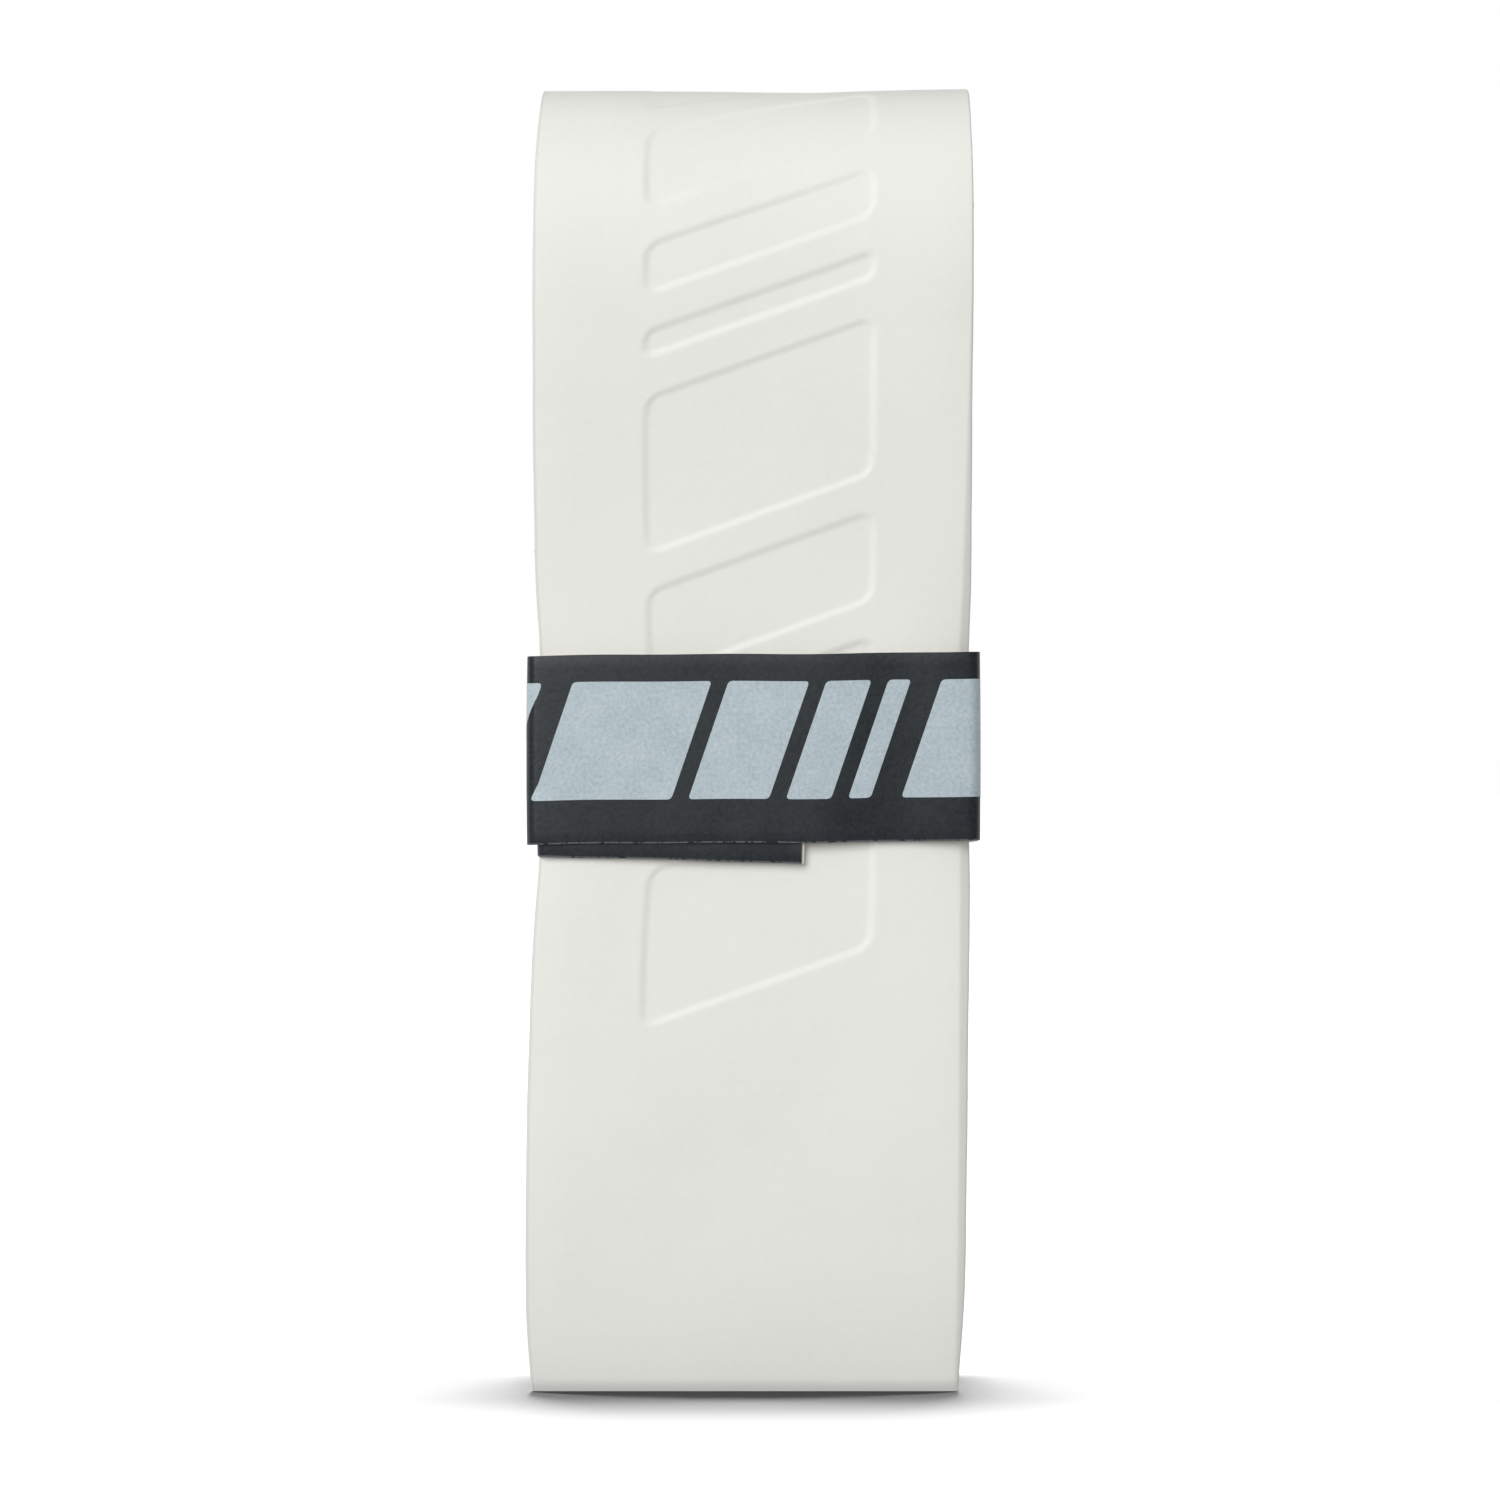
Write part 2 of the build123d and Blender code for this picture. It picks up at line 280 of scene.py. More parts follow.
def foot_shape(z):
    """The lower fold turns under more sharply in front than its path does."""
    a, b = np.clip(z, 0, 2.0), np.clip(z, 0, 0.9)
    return (8.1 + np.sqrt(0.81 - (0.9 - b) ** 2)) / (7.0 + np.sqrt(4.0 - (2.0 - a) ** 2))


def soften(x, y, z):
    """How the hand-wound, squeezed roll departs from straight runs. It moves space, so
    all layers and turns move together and keep their order."""
    ax = np.abs(x)
    waist = np.exp(-(((z - 40.0) / 8.0) ** 2))
    edge = np.clip((ax - 8.8) / 5.0, 0, 1) ** 2
    front = np.interp(z, Z_DENSE, FRONT_DENSE) / 9.0
    back = 0.050 * np.exp(-(((z - 40.0) / 10.5) ** 2)) + 0.05 * np.clip((9.0 - z) / 9.0, 0, 1) ** 2
    k = 1 - np.where(y < 0, front, back)
    k = k - 0.065 * waist * edge
    # the cut edges fall back slightly
    k = k - 0.010 * np.clip((ax - 11.2) / 2.6, 0, 1) ** 2
    # along the right edge they curl back
    onset = np.interp(z, CURL[:, 0], CURL[:, 1])
    width = np.interp(z, CURL[:, 0], CURL[:, 2])
    t = np.clip((x - onset) / np.maximum(width, 0.05), 0, 1.25)
    k = k - np.where(y < 0, 0.051, 0.03) * width * t
    k = k * np.where(y < 0, fold_shape(z) * foot_shape(z), 1)
    wob = (
        0.0035 * np.sin(2 * math.pi * (x / 31 + z / 47 + 0.2))
        + 0.0025 * np.sin(2 * math.pi * (x / 19 - z / 23 + 0.55))
        + 0.0015 * np.sin(2 * math.pi * (x / 11 + z / 13 + 0.8))
    )
    k = k + wob * np.clip(z / 8, 0, 1) * np.clip((78 - z) / 8, 0, 1)
    # the top fold stands a touch higher at its right end
    up = smoothstep((z - 62) / 18) * (0.07 * x / 13.5 - 0.16 * np.exp(-(((x - 3.0) / 6.5) ** 2)))
    return x, y * k, z + up


# ------------------------------------------------------------------ mesh helpers
def to_object(name, verts, faces, attributes=None, angle=38):
    mesh = bpy.data.meshes.new(name)
    mesh.from_pydata((np.asarray(verts, float) * MM).tolist(), [], [list(map(int, f)) for f in faces])
    mesh.validate()
    for key_name, values in (attributes or {}).items():
        a = mesh.attributes.new(key_name, "FLOAT_VECTOR", "POINT")
        a.data.foreach_set("vector", (np.asarray(values, np.float32) * MM).reshape(-1))
    bm = bmesh.new()
    bm.from_mesh(mesh)
    bmesh.ops.recalc_face_normals(bm, faces=bm.faces)
    bm.to_mesh(mesh)
    bm.free()
    mesh.shade_smooth()
    mesh.set_sharp_from_angle(angle=math.radians(angle))
    obj = bpy.data.objects.new(name, mesh)
    bpy.context.scene.collection.objects.link(obj)
    return obj


def swept_faces(rows, ring, cap=True):
    """Quads of a closed ring swept along rows, with a face at each end."""
    i = np.arange(rows - 1)[:, None] * ring
    j = np.arange(ring)[None, :]
    jn = (j + 1) % ring
    quads = np.stack([i + j, i + jn, i + ring + jn, i + ring + j], -1).reshape(-1, 4).tolist()
    if cap:
        quads.append(list(range(ring))[::-1])
        last = (rows - 1) * ring
        quads.append([last + n for n in range(ring)])
    return quads


def layer_ring(half, d0, d1, columns, r_top=0.3, r_low=0.1, low_columns=8, steps=4):
    """Closed outline of a layer across its width, as (x, depth)."""
    a = np.linspace(0, math.pi / 2, steps + 1)
    pts = [(x, d0) for x in columns if abs(x) < half - r_top - 1e-6]
    pts = [(-half + r_top, d0)] + pts + [(half - r_top, d0)]
    pts += [(half - r_top + r_top * math.sin(t), d0 + r_top - r_top * math.cos(t)) for t in a[1:]]
    pts += [(half - r_low + r_low * math.cos(t), d1 - r_low + r_low * math.sin(t)) for t in a]
    pts += [(x, d1) for x in np.linspace(half - r_low, -half + r_low, low_columns + 2)[1:-1]]
    pts += [(-half + r_low - r_low * math.cos(t), d1 - r_low + r_low * math.sin(t)) for t in a[::-1]]
    pts += [(-half + r_top - r_top * math.sin(t), d0 + r_top - r_top * math.cos(t)) for t in a[:0:-1]]
    return np.array(pts)


def rows_between(s0, s1, straight, arc_deg):
    """Arc lengths from s0 to s1, closer together where the path turns."""
    out = [s0]
    for start, (length, kind, d) in zip(seg_start, segments):
        a, b = max(start, s0), min(start + length, s1)
        if b - a < 1e-6:
            continue
        step = straight if kind == "line" else max(0.12, d[2] * math.radians(arc_deg))
        n = max(1, int(math.ceil((b - a) / step)))
        out += list(np.linspace(a, b, n + 1)[1:])
    return np.array(out)


def wedge(s):
    """The starting end is cut diagonally: the tape's right limit near the tip."""
    return np.where(s < 40, -HALF + 7.0 + (2 * HALF - 7.0) * np.clip(s, 0, 40) / 40, 99.0)


def on_roll(s, xr, d):
    """A point of the tape: arc length, place across the width (-13.5 to 13.5), depth under the outer face."""
    left, right = edges(s)
    u = (xr + HALF) / (2 * HALF)
    x = left + (right - left) * u
    y, z, ny, nz = path(s)
    y, z = y - ny * d, z - nz * d
    return np.stack(soften(x, y, z), -1)


def layer(name, s_rows, ring, shape=None, side_noise=0.0, seed=1, angle=38):
    """One layer of the tape as a closed solid along s_rows. shape(s, x, d) may change the arrays first."""
    rows, m = len(s_rows), len(ring)
    s = np.repeat(s_rows[:, None], m, 1)
    x = np.repeat(ring[None, :, 0], rows, 0)
    d = np.repeat(ring[None, :, 1], rows, 0)
    if side_noise:
        rng = np.random.default_rng(seed)
        n = rng.normal(size=(rows, m)) * side_noise
        x = x + np.where(np.abs(x) > np.abs(ring[:, 0]).max() - 0.25, n * np.sign(x), 0)
    if shape is not None:
        s, x, d = shape(s, x, d)
    x = np.minimum(x, wedge(s))
    p = on_roll(s, x, d)
    flat = np.stack([x, s, d], -1)
    return to_object(name, p.reshape(-1, 3), swept_faces(rows, m), {"flat": flat.reshape(-1, 3)}, angle)


# ------------------------------------------------------------------ debossed pattern of the skin
# Plain graduated bars, slanting: a generic pattern. v is height on the front face and goes on
# over the top fold as length along the tape.
EMB_X0, EMB_X1 = -6.60, 7.40
EMB_XC = 0.40
EMB_SLOPE = 0.36
EMB_WALL = 0.55
EMB_DEPTH = 0.130
EMB_R = 0.95
bars_v = []
for top in (34.9, 64.2, 93.5, 122.8, 152.1):
    v = top
    for h in (9.6, 5.4, 3.0, 1.5):
        if v - h > 22.0 and not 123.0 < v < 142.0:      # none across the crease where the tail starts
            bars_v.append((v - h, v))
        v -= h + 2.4
V0 = s_front(3, 0.0)    # arc length where v is 0
CREST_W = marks["top", 3] + 9.0 * math.pi / 2 - V0


def emboss(x, w):
    out = np.zeros_like(x)
    for a, b in bars_v:
        m = (w > a - 3) & (w < b + 3)
        if not m.any():
            continue
        r = min(EMB_R, (b - a) * 0.42)
        qx = np.abs(x[m] - (EMB_X0 + EMB_X1) / 2) - ((EMB_X1 - EMB_X0) / 2 - r)
        qw = np.abs(w[m] - (a + b) / 2) - ((b - a) / 2 - r)
        sd = np.hypot(np.maximum(qx, 0), np.maximum(qw, 0)) + np.minimum(np.maximum(qx, qw), 0) - r
        wall = min(EMB_WALL, (b - a) * 0.45)
        floor = smoothstep((wall / 2 - sd) / wall) * (1 - 0.14 * np.exp(np.minimum(sd, 0) / 1.6))
        rim = 0.05 * np.exp(-((np.maximum(sd, 0) - 0.45) / 0.35) ** 2) * (sd > 0)
        out[m] = np.maximum(out[m], 0) + (floor - rim)
    return out * EMB_DEPTH * (1 - 0.88 * np.exp(-(((w - CREST_W) / 4.0) ** 2)))


def shear(x, w):
    window = smoothstep((w - 8.0) / 9.0) * smoothstep((134.0 - w) / 10.0)
    return w + EMB_SLOPE * np.clip(x - EMB_XC, EMB_X0 - EMB_XC - 0.6, EMB_X1 - EMB_XC + 0.6) * window


def skin_shape(s, x, d):
    w = s - V0
    v = shear(x, w)
    top = d < 0.01
    d = d + np.where(top, emboss(x, w), 0)
    return v + V0, x, d


def dense_about(centres, reach, step):
    out = []
    for c in centres:
        out += list(np.arange(c - reach, c + reach + 1e-6, step))
    return out


def thin_out(values, least):
    values = np.sort(np.array(values))
    keep = [values[0]]
    for v in values[1:]:
        if v - keep[-1] >= least:
            keep.append(v)
    return np.array(keep)


columns = list(np.arange(-13.2, 13.21, 0.55))
columns = [c for c in columns if min(abs(c - EMB_X0), abs(c - EMB_X1)) > 0.95]
columns += dense_about((EMB_X0, EMB_X1), 0.9, 0.12)
columns += list(np.arange(12.3, 13.36, 0.11))
columns = thin_out(columns, 0.1)

# ------------------------------------------------------------------ materials
def nodes_of(name):
    m = bpy.data.materials.new(name)
    m.use_nodes = True
    nt = m.node_tree
    bsdf = nt.nodes["Principled BSDF"]
    return m, nt, bsdf


def add(nt, kind, **values):
    n = nt.nodes.new(kind)
    for k, v in values.items():
        if k in n.inputs:
            n.inputs[k].default_value = v
        else:
            setattr(n, k, v)
    return n


def ramp(nt, source, stops):
    r = nt.nodes.new("ShaderNodeValToRGB")
    e = r.color_ramp.elements
    e[0].position, e[0].color = stops[0][0], (*stops[0][1], 1)
    e[1].position, e[1].color = stops[-1][0], (*stops[-1][1], 1)
    for pos, col in stops[1:-1]:
        x = e.new(pos)
        x.color = (*col, 1)
    nt.links.new(source, r.inputs["Fac"])
    return r


def math_node(nt, op, a, b=None, clamp=False):
    n = nt.nodes.new("ShaderNodeMath")
    n.operation = op
    n.use_clamp = clamp
    for i, v in enumerate((a, b)):
        if v is None:
            continue
        if isinstance(v, (int, float)):
            n.inputs[i].default_value = v
        else:
            nt.links.new(v, n.inputs[i])
    return n.outputs[0]


def flat_coords(nt, scale=(1, 1, 1)):
    a = add(nt, "ShaderNodeAttribute", attribute_name="flat")
    mp = nt.nodes.new("ShaderNodeMapping")
    mp.inputs["Scale"].default_value = scale
    nt.links.new(a.outputs["Vector"], mp.inputs["Vector"])
    return mp.outputs["Vector"]


def noise(nt, coords, scale, detail=3.0, rough=0.55):
    n = add(nt, "ShaderNodeTexNoise", Scale=scale, Detail=detail, Roughness=rough)
    nt.links.new(coords, n.inputs["Vector"])
    return n.outputs["Fac"]


def bump(nt, height, distance, strength=1.0, normal=None):
    b = add(nt, "ShaderNodeBump", Strength=strength, Distance=distance)
    nt.links.new(height, b.inputs["Height"])
    if normal is not None:
        nt.links.new(normal, b.inputs["Normal"])
    return b.outputs["Normal"]


def mat_skin():
    m, nt, b = nodes_of("grip_polyurethane")
    c = flat_coords(nt)
    big = noise(nt, c, 90, 4, 0.6)
    fine = noise(nt, c, 2600, 3, 0.6)
    mix = math_node(nt, "ADD", math_node(nt, "MULTIPLY", big, 0.6), math_node(nt, "MULTIPLY", fine, 0.4))
    r = ramp(nt, mix, [(0.30, (0.790, 0.788, 0.753)), (0.5, (0.817, 0.815, 0.779)), (0.70, (0.835, 0.834, 0.799))])
    # a few dust specks pressed into the film
    v = add(nt, "ShaderNodeTexVoronoi", Scale=62.0, Randomness=1.0)
    nt.links.new(c, v.inputs["Vector"])
    speck = math_node(nt, "LESS_THAN", v.outputs["Distance"], 0.0085)
    mx = nt.nodes.new("ShaderNodeMix")
    mx.data_type = "RGBA"
    nt.links.new(math_node(nt, "MULTIPLY", speck, 0.35), mx.inputs["Factor"])
    nt.links.new(r.outputs["Color"], mx.inputs["A"])
    mx.inputs["B"].default_value = (0.45, 0.43, 0.38, 1)
    # painted shade: the cut edge on the left is painted a little greyer, standing in for the shade along its rounded
    # edge; first coordinate of "flat" runs across the tape
    sep = add(nt, "ShaderNodeSeparateXYZ")
    a = add(nt, "ShaderNodeAttribute", attribute_name="flat")
    nt.links.new(a.outputs["Vector"], sep.inputs["Vector"])
    # mask of the painted shade: the last tenth of a millimetre or so of the left edge
    rim = add(nt, "ShaderNodeMapRange")
    for socket, value in (("From Min", -0.01338), ("From Max", -0.01327), ("To Min", 0.6), ("To Max", 0.0)):
        rim.inputs[socket].default_value = value
    nt.links.new(sep.outputs["X"], rim.inputs["Value"])
    left_edge_painted_shade = add(nt, "ShaderNodeMix", data_type="RGBA")
    nt.links.new(rim.outputs["Result"], left_edge_painted_shade.inputs["Factor"])
    nt.links.new(mx.outputs["Result"], left_edge_painted_shade.inputs["A"])
    left_edge_painted_shade.inputs["B"].default_value = (0.62, 0.618, 0.59, 1)
    nt.links.new(left_edge_painted_shade.outputs["Result"], b.inputs["Base Color"])
    rr = ramp(nt, big, [(0.3, (0.50,) * 3), (0.7, (0.58,) * 3)])
    nt.links.new(rr.outputs["Color"], b.inputs["Roughness"])
    b.inputs["Specular IOR Level"].default_value = 0.38
    grain = noise(nt, c, 5200, 2, 0.5)
    n1 = bump(nt, grain, 0.000012, 0.5)
    peel = noise(nt, c, 520, 2, 0.5)
    nt.links.new(bump(nt, peel, 0.00003, 0.5, n1), b.inputs["Normal"])
    return m


def mat_felt():
    m, nt, b = nodes_of("cushion_felt")
    c = flat_coords(nt, (1, 0.35, 1))
    f = noise(nt, c, 5200, 5, 0.7)
    r = ramp(nt, f, [(0.32, (0.56, 0.55, 0.52)), (0.62, (0.78, 0.77, 0.74))])
    nt.links.new(r.outputs["Color"], b.inputs["Base Color"])
    b.inputs["Roughness"].default_value = 0.95
    b.inputs["Specular IOR Level"].default_value = 0.15
    b.inputs["Sheen Weight"].default_value = 0.25
    b.inputs["Sheen Roughness"].default_value = 0.5
    nt.links.new(bump(nt, f, 0.00012, 0.8), b.inputs["Normal"])
    return m


def mat_glue():
    m, nt, b = nodes_of("adhesive")
    c = flat_coords(nt)
    f = noise(nt, c, 900, 3, 0.6)
    r = ramp(nt, f, [(0.3, (0.70, 0.68, 0.60)), (0.7, (0.80, 0.78, 0.71))])
    nt.links.new(r.outputs["Color"], b.inputs["Base Color"])
    b.inputs["Roughness"].default_value = 0.18
    b.inputs["Specular IOR Level"].default_value = 0.5
    nt.links.new(bump(nt, f, 0.00003, 0.5), b.inputs["Normal"])
    return m


def mat_paper():
    m, nt, b = nodes_of("release_paper")
    c = flat_coords(nt)
    f = noise(nt, c, 1800, 4, 0.65)
    r = ramp(nt, f, [(0.3, (0.74, 0.71, 0.62)), (0.7, (0.82, 0.79, 0.71))])
    nt.links.new(r.outputs["Color"], b.inputs["Base Color"])
    b.inputs["Roughness"].default_value = 0.42
    nt.links.new(bump(nt, f, 0.00001, 0.5), b.inputs["Normal"])
    return m


def mat_film():
    m, nt, b = nodes_of("black_vinyl")
    c = flat_coords(nt)
    f = noise(nt, c, 3600, 3, 0.65)
    big = noise(nt, c, 260, 3, 0.5)
    mix = math_node(nt, "ADD", math_node(nt, "MULTIPLY", f, 0.65), math_node(nt, "MULTIPLY", big, 0.35))
    r = ramp(nt, mix, [(0.34, (0.0095, 0.0135, 0.0175)), (0.66, (0.0235, 0.0290, 0.0350))])
    # painted highlight: the lower cut edge is painted paler in broken dashes, standing in for light caught along it;
    # second coordinate of "flat" runs up the strip's width
    sep = nt.nodes.new("ShaderNodeSeparateXYZ")
    a = add(nt, "ShaderNodeAttribute", attribute_name="flat")
    nt.links.new(a.outputs["Vector"], sep.inputs["Vector"])
    low = math_node(nt, "LESS_THAN", sep.outputs["Y"], 0.00010)
    ragged = math_node(nt, "GREATER_THAN", f, 0.44)
    painted_edge_highlight = math_node(nt, "MULTIPLY", math_node(nt, "MULTIPLY", low, ragged), 0.27)
    mx = nt.nodes.new("ShaderNodeMix")
    mx.data_type = "RGBA"
    nt.links.new(painted_edge_highlight, mx.inputs["Factor"])
    nt.links.new(r.outputs["Color"], mx.inputs["A"])
    # colour of the painted highlight along the lower cut edge
    mx.inputs["B"].default_value = (0.35, 0.36, 0.37, 1)
    nt.links.new(mx.outputs["Result"], b.inputs["Base Color"])
    rr = ramp(nt, big, [(0.3, (0.34,) * 3), (0.7, (0.42,) * 3)])
    nt.links.new(rr.outputs["Color"], b.inputs["Roughness"])
    b.inputs["Specular IOR Level"].default_value = 0.33
    n1 = bump(nt, f, 0.00002, 0.6)
    nt.links.new(bump(nt, big, 0.00004, 0.4, n1), b.inputs["Normal"])
    return m


def mat_ink():
    m, nt, b = nodes_of("print_ink")
    c = flat_coords(nt)
    f = noise(nt, c, 4200, 3, 0.7)
    big = noise(nt, c, 420, 3, 0.6)
    mix = math_node(nt, "ADD", math_node(nt, "MULTIPLY", f, 0.7), math_node(nt, "MULTIPLY", big, 0.3))
    r = ramp(nt, mix, [(0.30, (0.345, 0.425, 0.465)), (0.70, (0.545, 0.630, 0.670))])
    nt.links.new(r.outputs["Color"], b.inputs["Base Color"])
    b.inputs["Roughness"].default_value = 0.42
    b.inputs["Specular IOR Level"].default_value = 0.4
    nt.links.new(bump(nt, f, 0.000015, 0.5), b.inputs["Normal"])
    return m


SKIN_M, FELT_M, GLUE_M = mat_skin(), mat_felt(), mat_glue()
PAPER_M, FILM_M, INK_M = mat_paper(), mat_film(), mat_ink()


def finish_piece(obj, material, body=None):
    obj.data.materials.append(material)
    if body:
        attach(obj, body)
    return obj


# ------------------------------------------------------------------ the roll's layers
outer_start = s_back(2, 45.0)       # hidden between the last two turns
outer_end = s_back(3, SPLIT_Z)

# skin of the outer turn, with the debossed pattern
w_rows = rows_between(outer_start, outer_end, 1.2, 4.0) - V0
dense = []
for a, b in bars_v:
    step = 0.11
    dense += dense_about((a, b), 0.5, step)
base = [w for w in w_rows if min(abs(w - c) for a, b in bars_v for c in (a, b)) > 0.55]
w_rows = thin_out(base + dense, 0.095)
w_rows = np.concatenate([[outer_start - V0], w_rows[(w_rows > outer_start - V0 + 0.05) & (w_rows < outer_end - V0 - 0.05)], [outer_end - V0]])
ring = layer_ring(HALF, 0.0, SKIN, columns, r_top=0.12, r_low=0.08, low_columns=6)
skin_outer = layer("grip_skin_outer_turn", w_rows + V0, ring, skin_shape, angle=55)
finish_piece(skin_outer, SKIN_M, "roll")

# skin of the turns inside it
inner_cols = list(np.linspace(-13.0, 13.0, 13))
ring = layer_ring(HALF, 0.0, SKIN, inner_cols, r_top=0.22, r_low=0.08, low_columns=6, steps=3)
skin_inner = layer("grip_skin_inner_turns", rows_between(0.0, outer_start, 1.6, 6.0), ring)
finish_piece(skin_inner, SKIN_M, "roll")

# felt, with a slightly ragged cut edge
ring = layer_ring(HALF - 0.06, SKIN + 0.004, SKIN + FELT, inner_cols, r_top=0.05, r_low=0.22, low_columns=8, steps=2)
felt = layer("grip_cushion_felt", rows_between(0.0, outer_end, 0.55, 4.0), ring, side_noise=0.035, seed=5, angle=60)
finish_piece(felt, FELT_M, "roll")

# adhesive strip and its release paper
ring = layer_ring(6.0, SKIN + FELT + 0.003, SKIN + FELT + GLUE, [0.0], r_top=0.02, r_low=0.02, low_columns=1, steps=2)
glue = layer("adhesive_strip_coiled", rows_between(1.6, outer_end, 2.5, 7.0), ring)
finish_piece(glue, GLUE_M, "roll")
ring = layer_ring(6.5, SKIN + FELT + GLUE + 0.003, TAPE_T, [0.0], r_top=0.02, r_low=0.02, low_columns=1, steps=2)
liner = layer("adhesive_liner_coiled", rows_between(0.6, outer_end, 2.5, 7.0), ring)
finish_piece(liner, PAPER_M, "roll")

for obj, node in ((skin_outer, "grip_skin"), (felt, "grip_cushion"), (glue, "adhesive_strip"), (liner, "adhesive_liner")):
    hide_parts(node)
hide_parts("grip_skin")

# ------------------------------------------------------------------ the loose tail, at the back
tail_s0, tail_s1 = outer_end, s_back(3, TAIL_END_Z)
tail_rows = np.concatenate([
    np.linspace(tail_s0, s_back(3, 33.0), 6),
    np.linspace(s_back(3, 32.6), s_back(3, 27.0), 30),
    np.linspace(s_back(3, 26.7), s_back(3, 18.6), 46),
    s_back(3, 17.0 + 1.3 * (1 - np.sin(np.linspace(0, math.pi / 2, 12)))),
])
tail_rows[-1] = tail_s1


def tail_piece(name, half, d0, d1, material, slot, cols, **ring_args):
    ring = layer_ring(half, d0, d1, cols, **ring_args)
    rows, m = len(tail_rows), len(ring)
    s = np.repeat(tail_rows[:, None], m, 1)
    x = np.repeat(ring[None, :, 0], rows, 0)
    d = np.repeat(ring[None, :, 1], rows, 0)
    z = TOP_Z - (s - marks["back", 3])
    # rounded corners of the cut end
    near = np.clip(1.3 - (z - TAIL_END_Z), 0, 1.3)
    cut = 1.3 - np.sqrt(np.maximum(1.3**2 - near**2, 0))
    x = np.sign(x) * np.minimum(np.abs(x), HALF - cut)
    if d0 == 0.0:
        lean_x = np.clip(x - EMB_XC, EMB_X0 - EMB_XC - 0.6, EMB_X1 - EMB_XC + 0.6)
        d = d + np.where(d < 0.01, emboss(x, s - V0 - EMB_SLOPE * lean_x), 0)
    p = on_roll(s, x, d)
    # it has taken a slight set, away from the turn under it
    p[..., 1] += 0.75 * np.clip((TAIL_HINGE_Z - p[..., 2]) / 14.5, 0, 1) ** 2 + 0.10 * np.clip((24 - p[..., 2]) / 7, 0, 1) * (x / 13.5)
    flat = np.stack([x, s, d], -1)
    obj = to_object(name, p.reshape(-1, 3), swept_faces(rows, m), {"flat": flat.reshape(-1, 3)})
    finish_piece(obj, material)
    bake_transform(obj)
    return obj


wide = list(np.linspace(-13.0, 13.0, 21))
tail_skin = tail_piece("tail_skin_flap", HALF, 0.0, SKIN, SKIN_M, "grip_polyurethane", columns, r_top=0.12, r_low=0.08, low_columns=8)
tail_felt = tail_piece("tail_cushion_flap", HALF - 0.06, SKIN + 0.004, SKIN + FELT, FELT_M, "cushion_felt", wide, r_top=0.05, r_low=0.22, low_columns=8, steps=2)
tail_glue = tail_piece("tail_adhesive_flap", 6.0, SKIN + FELT + 0.003, SKIN + FELT + GLUE, GLUE_M, "adhesive", [0.0], r_top=0.02, r_low=0.02, low_columns=1, steps=2)
tail_liner = tail_piece("tail_liner_flap", 6.5, SKIN + FELT + GLUE + 0.003, TAPE_T, PAPER_M, "release_paper", [0.0], r_top=0.02, r_low=0.02, low_columns=1, steps=2)
for obj, node in ((tail_skin, "tail_skin"), (tail_felt, "tail_cushion"), (tail_glue, "tail_adhesive"), (tail_liner, "tail_liner")):
    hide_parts(node)

# ------------------------------------------------------------------ the finishing tape
BAND = 11.7
TACK, FILM = 0.05, 0.15
PEEL_X, PEEL_END_X = -8.89, 3.11


def rounded_path(points, radii):
    """Points along a line with rounded corners: x, y and the outward normal at each."""
    pts = [np.array(p, float) for p in points]
    out = []
    prev = pts[0]
    for i in range(1, len(pts) - 1):
        p, q, n = pts[i - 1], pts[i], pts[i + 1]
        a, b = (p - q) / np.linalg.norm(p - q), (n - q) / np.linalg.norm(n - q)
        turn = math.acos(np.clip(-(a @ b), -1, 1))
        r = radii[i - 1]
        cut = r * math.tan(turn / 2)
        t0, t1 = q + a * cut, q + b * cut
        out.append(("line", prev, t0))
        mid = (a + b) / np.linalg.norm(a + b)
        c = q + mid * (r / math.cos(turn / 2))
        out.append(("arc", c, r, t0, t1))
        prev = t1
    out.append(("line", prev, pts[-1]))
    xy, no, kind = [], [], []
    for e in out:
        if e[0] == "line":
            a, b = e[1], e[2]
            length = np.linalg.norm(b - a)
            d = (b - a) / max(length, 1e-9)
            n = max(2, int(length / 0.5) + 1)
            for t in np.linspace(0, 1, n)[(1 if xy else 0):]:
                xy.append(a + (b - a) * t)
                no.append(np.array([-d[1], d[0]]))
        else:
            c, r, t0, t1 = e[1:]
            a0 = math.atan2(*(t0 - c)[::-1])
            a1 = math.atan2(*(t1 - c)[::-1])
            while a1 > a0:
                a1 -= 2 * math.pi
            for t in np.linspace(0, 1, 13)[1:]:
                a = a0 + (a1 - a0) * t
                xy.append(c + r * np.array([math.cos(a), math.sin(a)]))
                no.append(np.array([math.cos(a), math.sin(a)]))
    return np.array(xy), np.array(no)


# corners of the strip's sticky face, in the order it is wound: front, left, back, right, front, left, back
F1, B1 = -8.30, 8.62
F2, B2 = F1 - 0.22, B1 + 0.22
L1, L2, R1 = -13.20, -13.83, 13.86
start_x = 3.31
corner_points = [
    (start_x, F1), (L1, F1), (L1, B1), (R1, B1), (R1, F2), (L2, F2), (L2, B2), (PEEL_END_X, B2),
]
corner_radii = [0.42, 0.50, 0.55, 0.55, 0.50, 0.50]
strip_xy, strip_n = rounded_path(corner_points, corner_radii)
strip_t = np.concatenate([[0], np.cumsum(np.linalg.norm(np.diff(strip_xy, axis=0), axis=1))])
STRIP_LEN = strip_t[-1]

# the lower edge's height at each corner, as it is wound
lens = np.cumsum([0] + [math.dist(a, b) for a, b in zip(corner_points, corner_points[1:])])
lens = lens * STRIP_LEN / lens[-1]
STRIP_Z = [32.86, 33.36, 33.60, 34.06, 34.32, 34.07, 33.97, 33.92]


def strip_frame(t):
    """At length t along the strip: x, y, normal, lower edge's height."""
    x = np.interp(t, strip_t, strip_xy[:, 0])
    y = np.interp(t, strip_t, strip_xy[:, 1])
    nx = np.interp(t, strip_t, strip_n[:, 0])
    ny = np.interp(t, strip_t, strip_n[:, 1])
    n = np.hypot(nx, ny)
    z = np.interp(t, lens, STRIP_Z)
    return x, y, nx / n, ny / n, z


